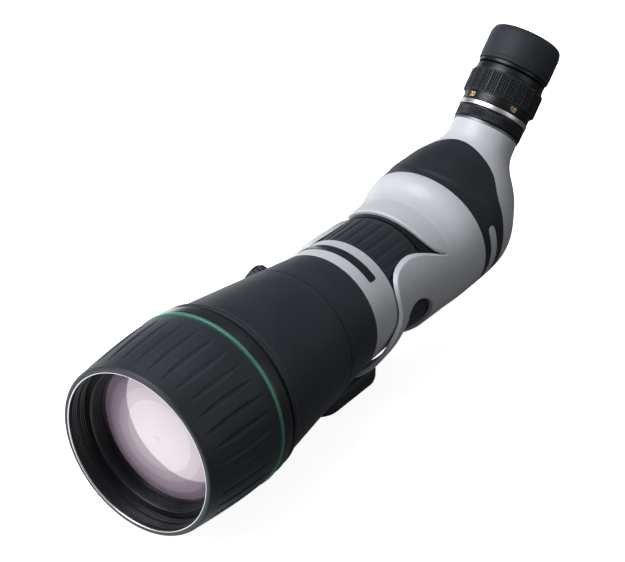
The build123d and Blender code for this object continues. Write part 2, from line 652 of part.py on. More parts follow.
def make_eyepiece():
    edge = neck_top - 0.2 + seat_gap
    rear = edge + 1.2
    bore = eye_tube_radius + 0.25
    socket_ring = turned([(50, neck_bore - seat_gap), (50, bore), (rear, bore), (rear, neck_radius + 0.5),
                          (edge, neck_radius + 0.5), (edge, neck_bore - seat_gap)])
    keep("eyepiece_socket", on_eye_axis(socket_ring))
    lock_front = rear + slide_gap
    lock = ring(lock_front, lock_ring_end, eye_tube_radius + run_gap + 0.2, zoom_radius + 0.1, 0.4)
    keep("lock_ring", on_eye_axis(lock))
    tube = ring(44, collar_end, eye_tube_bore, eye_tube_radius)
    slots = [Plane.XY * Pos(0, station) * SlotOverall(2 * zoom_travel + 3.0, 2.4, rotation=90)
             for station in (zoom_cell_a, zoom_cell_b)]
    tube -= [extrude(slots[0], -40), extrude(slots[1], 40)]
    keep("eyepiece_tube", on_eye_axis(tube))
    chrome_front = lock_ring_end + slide_gap
    keep("chrome_ring", on_eye_axis(turned([
        (chrome_front, eye_tube_radius + seat_gap), (chrome_front, zoom_radius + 0.5),
        (chrome_end, zoom_radius + 0.1), (chrome_end, eye_tube_radius + seat_gap)], 0.12)))
    bore = eye_tube_radius + run_gap
    zoom_front = chrome_end + slide_gap
    grip_bore = zoom_grip_radius - grip_wall
    body = turned([(zoom_front, bore), (zoom_front, zoom_radius), (scale_end, zoom_radius + 0.15),
                   (scale_end, grip_bore), (grip_end, grip_bore),
                   (grip_end, zoom_radius + 0.5), (collar_end - 1.2, zoom_radius + 0.2),
                   (collar_end - 1.2, bore)])
    relief = ring(zoom_cell_a - zoom_travel - 1.6, zoom_cell_b + zoom_travel + 1.6, bore - 1, bore + 1.6)
    keep("zoom_ring", on_eye_axis(body - relief))
    grip = ring(scale_end + seat_gap, grip_end - seat_gap, grip_bore + seat_gap, zoom_grip_radius)
    rib_length = grip_end - scale_end - 1.4
    rib = Pos(zoom_grip_radius + zoom_rib_height / 2 - 0.2, (scale_end + grip_end) / 2, 0) * Box(
        zoom_rib_height + 0.4, rib_length, 3.2)
    ribs = [around_axis(rib, 360 / zoom_ribs * i) for i in range(zoom_ribs)]
    keep("zoom_grip", on_eye_axis(grip + ribs))
    cell_outer = eye_tube_bore - run_gap
    cell_inner = cell_outer - zoom_cell_wall
    for name, station, side in (("zoom_cell_front", zoom_cell_a, -90), ("zoom_cell_rear", zoom_cell_b, 90)):
        cell = ring(station - 2.6, station + 2.6, cell_inner, cell_outer)
        pin = around_axis(Pos(0, station, 0) * Rot(0, 90, 0) * Pos(0, 0, eye_tube_bore - 1.5) *
                          Cylinder(1.1, 5.2, align=(Align.CENTER, Align.CENTER, Align.MIN)), side)
        keep(name, on_eye_axis(cell + pin))
    glass_radius = cell_inner - seat_gap
    keep("zoom_lens_front", on_eye_axis(lens(
        zoom_cell_a - 1.0, 2.0, glass_radius, zoom_front_curve, -zoom_front_curve)))
    keep("zoom_lens_rear", on_eye_axis(lens(
        zoom_cell_b - 1.6, 3.2, glass_radius, zoom_rear_curve, -zoom_rear_curve)))
    keep("field_stop", on_eye_axis(ring(46, 47.2, 9.5, eye_tube_bore - seat_gap)))


def make_eyecup():
    guide_front = collar_end + seat_gap
    flange_rear = guide_front + 1.6
    flange = cup_radius - 1.0
    guide = turned([(guide_front, eye_tube_bore), (guide_front, flange), (flange_rear, flange),
                    (flange_rear, guide_radius), (guide_rear, guide_radius), (guide_rear, guide_bore - 2),
                    (guide_rear - 2, guide_bore - 2), (guide_rear - 2, guide_bore),
                    (flange_rear + 0.9, guide_bore), (flange_rear + 0.9, eye_tube_bore)])
    keep("eye_lens_mount", on_eye_axis(guide))
    keep("eye_lens", on_eye_axis(lens(
        guide_rear - 9.5, 7.2, guide_bore - seat_gap, eye_front_curve, eye_rear_curve)))
    carrier_front = flange_rear + slide_gap
    carrier_bore = guide_radius + run_gap
    keep("eyecup_carrier", on_eye_axis(ring(
        carrier_front, carrier_front + carrier_length, carrier_bore, carrier_bore + carrier_wall)))
    inner = carrier_bore + carrier_wall + run_gap
    outer = inner + cup_sleeve_wall
    mouth = guide_bore + 0.2
    sleeve_end = cup_end - 3.4
    sleeve = turned([(carrier_front + 0.2, inner), (carrier_front + 0.2, outer), (sleeve_end, outer),
                     (sleeve_end, mouth), (sleeve_end - 1.6, mouth), (sleeve_end - 1.6, inner)])
    keep("eyecup_sleeve", on_eye_axis(sleeve))
    cover_inner = outer + seat_gap
    cover_front = carrier_front + 0.4
    skin_line = Spline((cup_radius - 0.3, cover_front), (cup_radius, cover_front + 2),
                       (cup_radius, cup_end - 6), (cup_radius - 0.8, cup_end - 2.0),
                       (cup_radius - 2.8, cup_end), tangents=((0.3, 1), (-1, 0)))
    inside = Polyline(skin_line @ 1, (mouth + 0.2, cup_end - 0.6), (mouth - 0.6, cup_end - 1.6),
                      (mouth - 0.6, sleeve_end + seat_gap), (cover_inner, sleeve_end + seat_gap),
                      (cover_inner, cover_front), skin_line @ 0)
    keep("eyecup_rubber", on_eye_axis(revolve(make_face([skin_line, inside]), Axis.Y)))


make_sunshade()
make_objective()
make_barrel()
make_collar()
make_foot()
make_lock_knob()
make_focus()
make_housing()
make_prisms()
make_eyepiece()
make_eyecup()

to_socket = Pos(0, -socket_station, axis_height)
for name, solid in nodes.items():
    export_step(to_socket * solid, f"parts/{name}.step")
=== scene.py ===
import math

import bmesh
import bpy
from mathutils import Matrix, Vector


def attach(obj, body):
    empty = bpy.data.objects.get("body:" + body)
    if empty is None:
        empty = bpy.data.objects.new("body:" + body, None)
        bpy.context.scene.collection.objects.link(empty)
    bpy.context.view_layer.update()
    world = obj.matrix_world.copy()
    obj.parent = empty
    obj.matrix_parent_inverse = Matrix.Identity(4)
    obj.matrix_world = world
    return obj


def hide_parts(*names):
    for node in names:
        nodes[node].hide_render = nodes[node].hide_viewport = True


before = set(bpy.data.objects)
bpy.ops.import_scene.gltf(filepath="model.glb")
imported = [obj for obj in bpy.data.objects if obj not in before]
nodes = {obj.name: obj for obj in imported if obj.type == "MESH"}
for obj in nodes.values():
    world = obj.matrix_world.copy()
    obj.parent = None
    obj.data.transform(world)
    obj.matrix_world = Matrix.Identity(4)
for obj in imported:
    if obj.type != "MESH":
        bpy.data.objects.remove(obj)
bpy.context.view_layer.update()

print("frame loaded,", len(nodes), "CAD nodes")

# Millimetre stations run backwards from the front rim of the sunshade along the optical axis,
# and outwards from the knee along the eyepiece axis.
layout = dict(
    socketStation=172.0,  # the tripod socket, where the frame has its origin
    axisHeight=58.0,
    kneeStation=285.2,
    eyeTilt=math.radians(45),
)
mm = 0.001


def aroundBarrel(station, radius, angle):
    # a point round the optical axis, in metres
    across, up = radius * math.cos(angle), radius * math.sin(angle)
    return Vector((across, station - layout["socketStation"], layout["axisHeight"] + up)) * mm


def aroundEyepiece(station, radius, angle):
    # a point round the tilted eyepiece axis, in metres
    across, up = radius * math.cos(angle), radius * math.sin(angle)
    tilt = layout["eyeTilt"]
    behind = layout["kneeStation"] - layout["socketStation"] + station * math.cos(tilt) - up * math.sin(tilt)
    height = layout["axisHeight"] + station * math.sin(tilt) + up * math.cos(tilt)
    return Vector((across, behind, height)) * mm


def hexColour(code, alpha=1.0):
    # sRGB hex to the linear colour that shaders use
    channels = [int(code[i:i + 2], 16) / 255 for i in (1, 3, 5)]
    linear = [c / 12.92 if c <= 0.04045 else ((c + 0.055) / 1.055) ** 2.4 for c in channels]
    return (*linear, alpha)


def addNode(tree, kind, inputs=None, **settings):
    # adds a node, sets it up, and fills or links its inputs
    node = tree.nodes.new(kind)
    for key, value in settings.items():
        setattr(node, key, value)
    for key, value in (inputs or {}).items():
        if isinstance(value, bpy.types.NodeSocket):
            tree.links.new(value, node.inputs[key])
        else:
            node.inputs[key].default_value = value
    return node


def startMaterial(name, **sockets):
    # an empty principled material; sockets are fixed values on the shader itself
    material = bpy.data.materials.new(name)
    material.use_nodes = True
    tree = material.node_tree
    shader = tree.nodes["Principled BSDF"]
    for key, value in sockets.items():
        shader.inputs[key.replace("_", " ")].default_value = value
    place = addNode(tree, "ShaderNodeTexCoord").outputs["Object"]
    return material, tree, shader, place


def perMillimetre(size):
    # texture scale for features of this size, as object coordinates are metres
    return 1000.0 / size


rubberLook = dict(dark="#12161c", light="#1c2229", grain=0.45, cloud=30.0, bump=0.00003)


def mouldedRubber(name, look):
    # TPE armour from a spark-eroded mould: matte, with a fine even pebble that softens highlights.
    # The real pebble is about 0.1 mm, and is drawn coarser so that it shows.
    material, tree, shader, place = startMaterial(name, IOR=1.45, Sheen_Weight=0.2,
                                                  Sheen_Roughness=0.5, Sheen_Tint=hexColour("#aebccb"))
    cloud = addNode(tree, "ShaderNodeTexNoise", {"Vector": place, "Scale": perMillimetre(look["cloud"]),
                                                 "Detail": 3.0})
    grain = addNode(tree, "ShaderNodeTexNoise", {"Vector": place, "Scale": perMillimetre(look["grain"]),
                                                 "Detail": 2.0})
    tone = addNode(tree, "ShaderNodeValToRGB", {"Fac": cloud.outputs["Fac"]})
    tone.color_ramp.elements[0].position = 0.3
    tone.color_ramp.elements[0].color = hexColour(look["dark"])
    tone.color_ramp.elements[1].position = 0.7
    tone.color_ramp.elements[1].color = hexColour(look["light"])
    rough = addNode(tree, "ShaderNodeMapRange", {"Value": grain.outputs["Fac"], "From Min": 0.3,
                                                 "From Max": 0.7,
                                                 "To Min": look.get("smooth", 0.46),
                                                 "To Max": look.get("rough", 0.6)})
    bump = addNode(tree, "ShaderNodeBump", {"Height": grain.outputs["Fac"], "Strength": 0.5,
                                            "Distance": look["bump"]})
    tree.links.new(tone.outputs["Color"], shader.inputs["Base Color"])
    tree.links.new(rough.outputs["Result"], shader.inputs["Roughness"])
    tree.links.new(bump.outputs["Normal"], shader.inputs["Normal"])
    return material


coatingLook = dict(base="#c3c5ca", fleck="#b4b7bd", grain=0.5, cloud=60.0, bump=0.000012)


def softTouchCoating(name, look):
    # sprayed polyurethane over rubber armour: satin, very slightly orange-peeled, with faint metallic flecks
    material, tree, shader, place = startMaterial(name, IOR=1.48, Coat_Weight=0.12, Coat_Roughness=0.35)
    peel = addNode(tree, "ShaderNodeTexNoise", {"Vector": place, "Scale": perMillimetre(look["grain"]),
                                                "Detail": 2.0})
    cloud = addNode(tree, "ShaderNodeTexNoise", {"Vector": place, "Scale": perMillimetre(look["cloud"]),
                                                 "Detail": 2.0})
    both = addNode(tree, "ShaderNodeMath", {0: peel.outputs["Fac"], 1: cloud.outputs["Fac"]},
                   operation="MULTIPLY")
    tone = addNode(tree, "ShaderNodeValToRGB", {"Fac": both.outputs["Value"]})
    tone.color_ramp.elements[0].position = 0.12
    tone.color_ramp.elements[0].color = hexColour(look["fleck"])
    tone.color_ramp.elements[1].position = 0.32
    tone.color_ramp.elements[1].color = hexColour(look["base"])
    rough = addNode(tree, "ShaderNodeMapRange", {"Value": peel.outputs["Fac"], "From Min": 0.3,
                                                 "From Max": 0.7,
                                                 "To Min": 0.38, "To Max": 0.48})
    bump = addNode(tree, "ShaderNodeBump", {"Height": peel.outputs["Fac"], "Strength": 0.4,
                                            "Distance": look["bump"]})
    tree.links.new(tone.outputs["Color"], shader.inputs["Base Color"])
    tree.links.new(rough.outputs["Result"], shader.inputs["Roughness"])
    tree.links.new(bump.outputs["Normal"], shader.inputs["Normal"])
    return material


barrelAxis = (0.0, 1.0, 0.0)
eyepieceAxis = (0.0, math.cos(layout["eyeTilt"]), math.sin(layout["eyeTilt"]))


def turnedMetal(name, dark, light, metallic, smooth, rough, axis=barrelAxis, pitch=0.6, depth=0.000006,
                coat=0.0):
    # turned on a lathe: fine tool lines round the axis that stretch highlights across them.
    # Real tool lines are about 0.1 mm apart, and are drawn coarser so that they show.
    material, tree, shader, place = startMaterial(name, Metallic=metallic, Coat_Weight=coat,
                                                  Coat_Roughness=0.08)
    along = addNode(tree, "ShaderNodeVectorMath", {0: place, 1: axis}, operation="DOT_PRODUCT")
    lines = addNode(tree, "ShaderNodeTexNoise", {"W": along.outputs["Value"], "Scale": perMillimetre(pitch),
                                                 "Detail": 3.0}, noise_dimensions="1D")
    cloud = addNode(tree, "ShaderNodeTexNoise", {"Vector": place, "Scale": perMillimetre(12.0),
                                                 "Detail": 3.0})
    tone = addNode(tree, "ShaderNodeMix", {"Factor": cloud.outputs["Fac"], "A": hexColour(dark),
                                           "B": hexColour(light)}, data_type="RGBA")
    satin = addNode(tree, "ShaderNodeMapRange", {"Value": lines.outputs["Fac"], "From Min": 0.3,
                                                 "From Max": 0.7,
                                                 "To Min": smooth, "To Max": rough})
    bump = addNode(tree, "ShaderNodeBump", {"Height": lines.outputs["Fac"], "Strength": 0.5,
                                            "Distance": depth})
    tree.links.new(tone.outputs["Result"], shader.inputs["Base Color"])
    tree.links.new(satin.outputs["Result"], shader.inputs["Roughness"])
    tree.links.new(bump.outputs["Normal"], shader.inputs["Normal"])
    return material


def blastedAluminium(name, dark, light):
    # die-cast foot, bead blasted and then anodised: satin, with an even fine sparkle
    material, tree, shader, place = startMaterial(name, Metallic=0.4)
    blast = addNode(tree, "ShaderNodeTexVoronoi", {"Vector": place, "Scale": perMillimetre(0.7)})
    tone = addNode(tree, "ShaderNodeMix", {"Factor": blast.outputs["Distance"], "A": hexColour(dark),
                                           "B": hexColour(light)}, data_type="RGBA")
    satin = addNode(tree, "ShaderNodeMapRange", {"Value": blast.outputs["Distance"], "To Min": 0.36,
                                                 "To Max": 0.52})
    bump = addNode(tree, "ShaderNodeBump", {"Height": blast.outputs["Distance"], "Strength": 0.35,
                                            "Distance": 0.00002})
    tree.links.new(tone.outputs["Result"], shader.inputs["Base Color"])
    tree.links.new(satin.outputs["Result"], shader.inputs["Roughness"])
    tree.links.new(bump.outputs["Normal"], shader.inputs["Normal"])
    return material


def glossEnamel(name):
    # baked black enamel: deep mirror gloss with a trace of orange peel in the reflections
    material, tree, shader, place = startMaterial(name, Coat_Weight=0.5, Coat_Roughness=0.2, IOR=1.52)
    peel = addNode(tree, "ShaderNodeTexNoise", {"Vector": place, "Scale": perMillimetre(2.0), "Detail": 1.0})
    tone = addNode(tree, "ShaderNodeMix", {"Factor": peel.outputs["Fac"], "A": hexColour("#14171b"),
                                           "B": hexColour("#1b1f24")}, data_type="RGBA")
    satin = addNode(tree, "ShaderNodeMapRange", {"Value": peel.outputs["Fac"], "To Min": 0.28,
                                                 "To Max": 0.34})
    bump = addNode(tree, "ShaderNodeBump", {"Height": peel.outputs["Fac"], "Strength": 0.2,
                                            "Distance": 0.00001})
    tree.links.new(tone.outputs["Result"], shader.inputs["Base Color"])
    tree.links.new(satin.outputs["Result"], shader.inputs["Roughness"])
    tree.links.new(bump.outputs["Normal"], shader.inputs["Normal"])
    return material


def coatedGlass(name, look, middle=(0.0, 0.0, layout["axisHeight"] * mm)):
    # polished crown glass with a vacuum-deposited coating: each face gives back its own mauve image of the
    # studio.
    # The base colour steps in tone by distance from the optical axis and darkens at the rim; on the objective
    # this is painted reflection, a pale middle with paler discs standing in for the images that the inner
    # faces give back
    material, tree, shader, place = startMaterial(
        name, IOR=1.52, Specular_IOR_Level=look["gloss"], Specular_Tint=hexColour(look["tint"]),
        Transmission_Weight=look["clear"], Coat_Weight=look["coat"], Coat_Roughness=0.015, Coat_IOR=1.9)
    away = addNode(tree, "ShaderNodeVectorMath", {0: place, 1: middle}, operation="SUBTRACT")
    flat = addNode(tree, "ShaderNodeVectorMath", {0: away.outputs["Vector"], 1: (1.0, 0.0, 1.0)},
                   operation="MULTIPLY")
    distance = addNode(tree, "ShaderNodeVectorMath", {0: flat.outputs["Vector"]}, operation="LENGTH")
    share = addNode(tree, "ShaderNodeMath", {0: distance.outputs["Value"], 1: look["rim"] * mm},
                    operation="DIVIDE")
    # painted reflection: tone by distance from the axis, with the listed steps drawn as paler discs
    tone = addNode(tree, "ShaderNodeValToRGB", {"Fac": share.outputs["Value"]})
    tone.color_ramp.elements[0].position = 0.0
    tone.color_ramp.elements[0].color = hexColour(look["centre"])
    tone.color_ramp.elements[1].position = 0.97
    tone.color_ramp.elements[1].color = hexColour(look["bevel"])
    for position, code in look["bands"]:
        tone.color_ramp.elements.new(position).color = hexColour(code)
    breath = addNode(tree, "ShaderNodeTexNoise", {"Vector": place, "Scale": perMillimetre(25.0),
                                                  "Detail": 2.0})
    polish = addNode(tree, "ShaderNodeMapRange", {"Value": breath.outputs["Fac"], "To Min": 0.01,
                                                  "To Max": 0.04})
    tree.links.new(tone.outputs["Color"], shader.inputs["Base Color"])
    tree.links.new(polish.outputs["Result"], shader.inputs["Roughness"])
    return material


def glossPrint(name, code):
    # pad-printed ink, slightly raised and satin, with small gaps in the ink
    material, tree, shader, place = startMaterial(name, IOR=1.5)
    ink = addNode(tree, "ShaderNodeTexNoise", {"Vector": place, "Scale": perMillimetre(0.4), "Detail": 2.0})
    tone = addNode(tree, "ShaderNodeMix", {"Factor": ink.outputs["Fac"], "A": hexColour(code),
                                           "B": hexColour("#b4935c")}, data_type="RGBA")
    satin = addNode(tree, "ShaderNodeMapRange", {"Value": ink.outputs["Fac"], "To Min": 0.35, "To Max": 0.5})
    tree.links.new(tone.outputs["Result"], shader.inputs["Base Color"])
    tree.links.new(satin.outputs["Result"], shader.inputs["Roughness"])
    return material


rubber = mouldedRubber("mouldedRubberArmour", rubberLook)
bandRubber = mouldedRubber("mouldedRubberBand", dict(rubberLook, dark="#0c1016", light="#131820"))
sealRubber = mouldedRubber("nitrileRubber", dict(rubberLook, dark="#0c0d0e", light="#131415", smooth=0.6,
                                                 rough=0.75))
cupRubber = mouldedRubber("mouldedRubberEyecup", dict(rubberLook, smooth=0.62, rough=0.74))
nylon = mouldedRubber("acetalPlastic", dict(rubberLook, dark="#c9c6ba", light="#d5d3c9", smooth=0.35,
                                            rough=0.45))
grey = softTouchCoating("softTouchCoating", coatingLook)
blackTurned = turnedMetal("blackAnodisedAluminium", "#101215", "#181b1f", 0.35, 0.3, 0.45)
blackTurnedEye = turnedMetal("blackAnodisedEyepiece", "#101215", "#181b1f", 0.35, 0.3, 0.45, eyepieceAxis)
greenTurned = turnedMetal("greenAnodisedAluminium", "#4f8672", "#5f9c86", 0.45, 0.32, 0.42)
bareTurned = turnedMetal("turnedAluminium", "#bfc3c7", "#d7dadd", 1.0, 0.2, 0.34, depth=0.000004)
# painted shade: the eyepiece socket's aluminium is toned far darker than the bare aluminium of the mouth
# ring, as it sits in shade under the lock ring
shadedTurnedAluminiumEye = turnedMetal("turnedAluminiumEyepiecePaintedShade", "#6f7377", "#7f8387", 1.0, 0.42, 0.52, eyepieceAxis)
chromePlate = turnedMetal("chromePlatedBrass", "#d9dbde", "#e4e6e8", 1.0, 0.34, 0.4, eyepieceAxis,
                          depth=0.000002)
steel = turnedMetal("turnedSteel", "#8f9398", "#a7abaf", 1.0, 0.3, 0.42)
brass = turnedMetal("turnedBrass", "#b08d4a", "#c9a75e", 1.0, 0.25, 0.35)
blackCast = blastedAluminium("blastedAnodisedCasting", "#2a2f34", "#363c42")
enamel = glossEnamel("bakedBlackEnamel")
# painted reflections: the pale centre and the tone steps by radius stand in for the paler discs that the
# inner surfaces reflect
paintedReflectionSteps = [(0.5, "#f2e9f0"), (0.515, "#e4d6e1"), (0.66, "#dccbd9"), (0.675, "#cdbaca"),
                  (0.83, "#c4b0c2"),
                  (0.845, "#b19db0"), (0.93, "#a893a6")]
objectiveLook = dict(centre="#f6eff4", bands=paintedReflectionSteps, bevel="#5a4a5c", tint="#f2d8ea", gloss=1.0,
                     clear=0.45,
                     coat=1.0, rim=42.0)
frontGlass = coatedGlass("coatedCrownGlass", objectiveLook)
innerGlass = coatedGlass("coatedFlintGlass", dict(objectiveLook, clear=0.35))
eyeGlass = coatedGlass("coatedEyeGlass", dict(objectiveLook, centre="#6d6480", bands=[(0.9, "#4a4158")],
                                              clear=0.7, rim=200.0))
clearGlass = coatedGlass("polishedPrismGlass", dict(objectiveLook, centre="#dfe6e4", bands=[(0.9, "#cfd8d6")],
                                                    tint="#ffffff",
                                                    gloss=0.5, clear=0.9, coat=0.0, rim=200.0))
scaleInk = glossPrint("goldPadPrint", "#e2c79a")
print("materials made")


cadFinish = {
    rubber: ["sunshade_grip", "barrel_armour", "collar_armour", "knob_grip", "focus_grip", "zoom_grip",
             "eyecup_rubber"],
    bandRubber: ["housing_band"],
    sealRubber: ["friction_ring", "foot_pad"],
    nylon: ["brake_shoe", "eyecup_carrier"],
    grey: ["name_ring", "housing_cover", "neck_cover", "flank_bars"],
    blackTurned: ["sunshade_tube", "objective_cell", "lens_spacer", "lens_retainer", "main_barrel",
                  "light_baffle",
                  "collar_ring", "lock_knob", "rear_tube", "focus_ring", "focus_cell", "prism_housing",
                  "prism_cradle"],
    blackTurnedEye: ["lock_ring", "eyepiece_tube", "zoom_ring", "zoom_cell_front", "zoom_cell_rear",
                     "field_stop",
                     "eye_lens_mount", "eyecup_sleeve"],
    greenTurned: ["accent_ring"],
    bareTurned: ["rim_ring"],
    # the socket takes the aluminium with painted shade
    shadedTurnedAluminiumEye: ["eyepiece_socket"],
    chromePlate: ["chrome_ring"],
    steel: ["socket_bush", "foot_screws", "lock_stud", "prism_clip"],
    brass: ["focus_pin"],
    blackCast: ["foot"],
    enamel: ["gloss_band", "badge_plate"],
    frontGlass: ["crown_lens"],
    innerGlass: ["flint_lens", "focus_lens"],
    eyeGlass: ["eye_lens", "zoom_lens_front", "zoom_lens_rear"],
    clearGlass: ["front_prism", "roof_prism"],
}
for material, names in cadFinish.items():
    for name in names:
        mesh = nodes[name].data
        if not mesh.materials:
            mesh.materials.append(material)
        for place in nodes[name].material_slots:
            place.material = material
        mesh.shade_smooth()
        mesh.set_sharp_from_angle(angle=math.radians(28))
print("CAD nodes finished")


def softened(corners, size, steps=3):
    # rounds each corner of a closed outline, as a tumbled or moulded edge is
    points = []
    for index, corner in enumerate(corners):
        here, before = Vector(corner), Vector(corners[index - 1])
        after = Vector(corners[(index + 1) % len(corners)])
        reach = min(size, 0.45 * (before - here).length, 0.45 * (after - here).length)
        start, end = here + (before - here).normalized() * reach, here + (after - here).normalized() * reach
        for step in range(steps + 1):
            t = step / steps
            points.append(start * (1 - t) ** 2 + here * 2 * t * (1 - t) + end * t * t)
    return [tuple(point) for point in points]


def spaced(first, last, count):
    return [first + (last - first) * step / count for step in range(count + 1)]


def turnPiece(name, outline, place, material, body, replaced, segments=256, relief=None, sharp=32):
    # turns a closed outline of (station, radius) right round; relief raises or cuts the surface
    bm = bmesh.new()
    rings = []
    for segment in range(segments):
        angle = 2 * math.pi * segment / segments
        rings.append([bm.verts.new(place(station, radius + (relief(station, radius, angle) if relief else 0),
                                         angle))
                      for station, radius in outline])
    for segment, ring in enumerate(rings):
        following = rings[(segment + 1) % segments]
        for index in range(len(outline)):
            after = (index + 1) % len(outline)
            bm.faces.new((ring[index], following[index], following[after], ring[after]))
    bmesh.ops.recalc_face_normals(bm, faces=bm.faces)
    mesh = bpy.data.meshes.new(name)
    bm.to_mesh(mesh)
    bm.free()
    mesh.shade_smooth()
    mesh.set_sharp_from_angle(angle=math.radians(sharp))
    mesh.materials.append(material)
    piece = bpy.data.objects.new(name, mesh)
    bpy.context.scene.collection.objects.link(piece)
    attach(piece, body)
    if replaced:
        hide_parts(*replaced)
    return piece


# sunshade: armoured sleeve with thirty-four leaf-shaped flutes
sunshade = dict(frontRadius=50.2, rearRadius=53.2,
                fluteCount=34, fluteLength=46.0, fluteDepth=0.7, fluteWidth=4.0, fluteMiddle=28.5)


def shadeRadius(station):
    share = min(1.0, (station - 3.0) / 46.0)
    flare = sunshade["rearRadius"] - sunshade["frontRadius"]
    return sunshade["frontRadius"] + flare * math.sin(share * math.pi / 2)


def fluteRelief(station, radius, angle):
    # a slim leaf with crisp edges and pointed ends
    if radius < sunshade["frontRadius"] - 0.3:
        return 0.0
    pitch = 2 * math.pi / sunshade["fluteCount"]
    across = radius * ((angle + pitch / 2) % pitch - pitch / 2)
    along = 2 * (station - sunshade["fluteMiddle"]) / sunshade["fluteLength"]
    halfWidth = sunshade["fluteWidth"] / 2 * (1 - along ** 2)
    if abs(across) >= halfWidth:
        return 0.0
    return -sunshade["fluteDepth"] * (1 - along ** 4) * (1 - (across / halfWidth) ** 2)


# the lip rolls over the mouth and stops just short of the bright liner edge
outerLine = [(0.6, 47.3), (0.2, 47.45), (0.02, 47.9), (0.0, 48.5), (0.15, 49.1), (0.5, 49.55), (1.1, 49.9),
             (1.8, 50.1), (2.4, 50.18)]
outerLine += [(station, shadeRadius(station)) for station in spaced(3.0, 9.0, 8)]
outerLine += [(station, shadeRadius(station)) for station in spaced(9.4, 49.0, 99)]
outerLine += [(51.0, 53.15), (53.0, 53.05), (54.8, 52.95), (55.6, 52.75), (56.0, 52.3), (56.0, 48.64),
              (0.8, 48.64),
              (0.8, 47.3)]
turnPiece("sunshadeArmour", outerLine, aroundBarrel, rubber, "sunshade", ["sunshade_grip"],
          segments=840, relief=fluteRelief, sharp=40)

# sunshade liner: glare grooves ahead of the lens cell, and a bright chamfer at the mouth
linerBore = 46.6
linerOutline = [(0.8, linerBore + 0.3), (0.8, 48.6), (56.0, 48.6), (56.0, linerBore), (13.4, linerBore)]
for grooveStation in (12.0, 10.6, 9.2, 6.0, 4.6, 3.2):
    linerOutline += [(grooveStation + 0.8, linerBore), (grooveStation + 0.6, linerBore + 0.45),
                     (grooveStation, linerBore + 0.45), (grooveStation - 0.1, linerBore)]
turnPiece("sunshadeLiner", softened(linerOutline, 0.12, 2), aroundBarrel, blackTurned, "sunshade",
          ["sunshade_tube"])
turnPiece("mouthRing", softened([(0.05, 46.85), (0.05, 47.25), (0.78, 47.25), (0.78, 46.62), (0.3, 46.62)],
                                0.08, 2), aroundBarrel, bareTurned, "sunshade",
                                ["rim_ring"])
print("sunshade made")

# lens cell: stepped nose with fine bright-edged grooves, then the cylinder that the sunshade slides on
cell = dict(front=13.0, lensSeat=42.02, outer=46.55, bore=44.55, lipBore=39.0, shoulder=36.2, lipRear=39.2,
            bandFront=58.4, bandRear=66.6, bandSeat=49.9)
noseSteps = [(cell["front"] + 0.6, cell["lensSeat"]), (cell["front"], 42.6)]
for step in range(3):
    edge = 43.4 + step
    noseSteps += [(cell["front"], edge), (cell["front"] + 0.7, edge + 0.1),
                  (cell["front"] + 0.7, edge + 0.45),
                  (cell["front"], edge + 0.55)]
noseSteps += [(cell["front"], 46.3), (cell["front"] + 0.25, cell["outer"]), (17.0, cell["outer"]),
              (17.0, 45.55),
              (19.4, 45.55), (19.4, cell["outer"]), (cell["bandFront"], cell["outer"]),
              (cell["bandFront"], cell["bandSeat"]), (cell["bandRear"], cell["bandSeat"]),
              (cell["bandRear"], cell["bore"]), (cell["lipRear"], cell["bore"]),
              (cell["lipRear"], cell["lipBore"]),
              (cell["shoulder"], cell["lipBore"]), (cell["shoulder"], cell["lensSeat"])]
turnPiece("lensCell", softened(noseSteps, 0.1, 2), aroundBarrel, blackTurned, "scope",
          ["objective_cell"])

turnPiece("greenRing", softened([(56.4, 46.6), (56.4, 53.6), (58.38, 53.6), (58.38, 46.6)], 0.35),
          aroundBarrel,
          greenTurned, "scope", ["accent_ring"])
turnPiece("glossBand", softened([(58.4, 49.92), (58.4, 52.9), (66.6, 52.9), (66.6, 49.92)], 0.8, 5),
          aroundBarrel,
          enamel, "scope", ["gloss_band"])
print("objective made")

# cone armour with its raised front lip
cone = dict(front=69.0, frontRadius=51.2, rear=165.2, rearRadius=37.5, armourRear=134.8)


def coneRadius(station):
    share = (station - cone["front"]) / (cone["rear"] - cone["front"])
    return cone["frontRadius"] + share * (cone["rearRadius"] - cone["frontRadius"])


coneLine = [(69.0, 51.7), (69.15, 51.95), (69.5, 52.08), (71.2, 52.1), (72.2, 52.0), (72.7, 51.7),
            (73.1, 51.2),
            (73.7, 50.75)]
coneLine += [(station, coneRadius(station)) for station in spaced(75.0, 134.2, 40)]
coneLine += [(134.55, coneRadius(134.55) - 0.1), (cone["armourRear"], coneRadius(cone["armourRear"]) - 0.4)]
coneLine += [(cone["armourRear"], coneRadius(cone["armourRear"]) - 2.48), (cone["front"], 48.72)]
turnPiece("coneArmour", coneLine, aroundBarrel, rubber, "scope", ["barrel_armour"],
          segments=320)
print("barrel made")

# name ring with its blank badge, a round-ended slot plate let into the top
nameRing = dict(front=165.6, rear=187.9, seat=34.02, frontRadius=37.48, rearRadius=36.4, badgeStation=176.9,
                badgeHalfWidth=3.2, badgeHalfAngle=math.radians(44.5), badgeProud=0.1, badgeCorner=1.4)
nameLine = [(nameRing["front"], nameRing["seat"]), (nameRing["front"], nameRing["frontRadius"]),
            (nameRing["rear"], nameRing["rearRadius"]), (nameRing["rear"], nameRing["seat"])]
turnPiece("nameRing", softened(nameLine, 0.5, 5), aroundBarrel, grey, "scope", ["name_ring"])


def nameRadius(station):
    share = (station - nameRing["front"]) / (nameRing["rear"] - nameRing["front"])
    return nameRing["frontRadius"] + share * (nameRing["rearRadius"] - nameRing["frontRadius"])


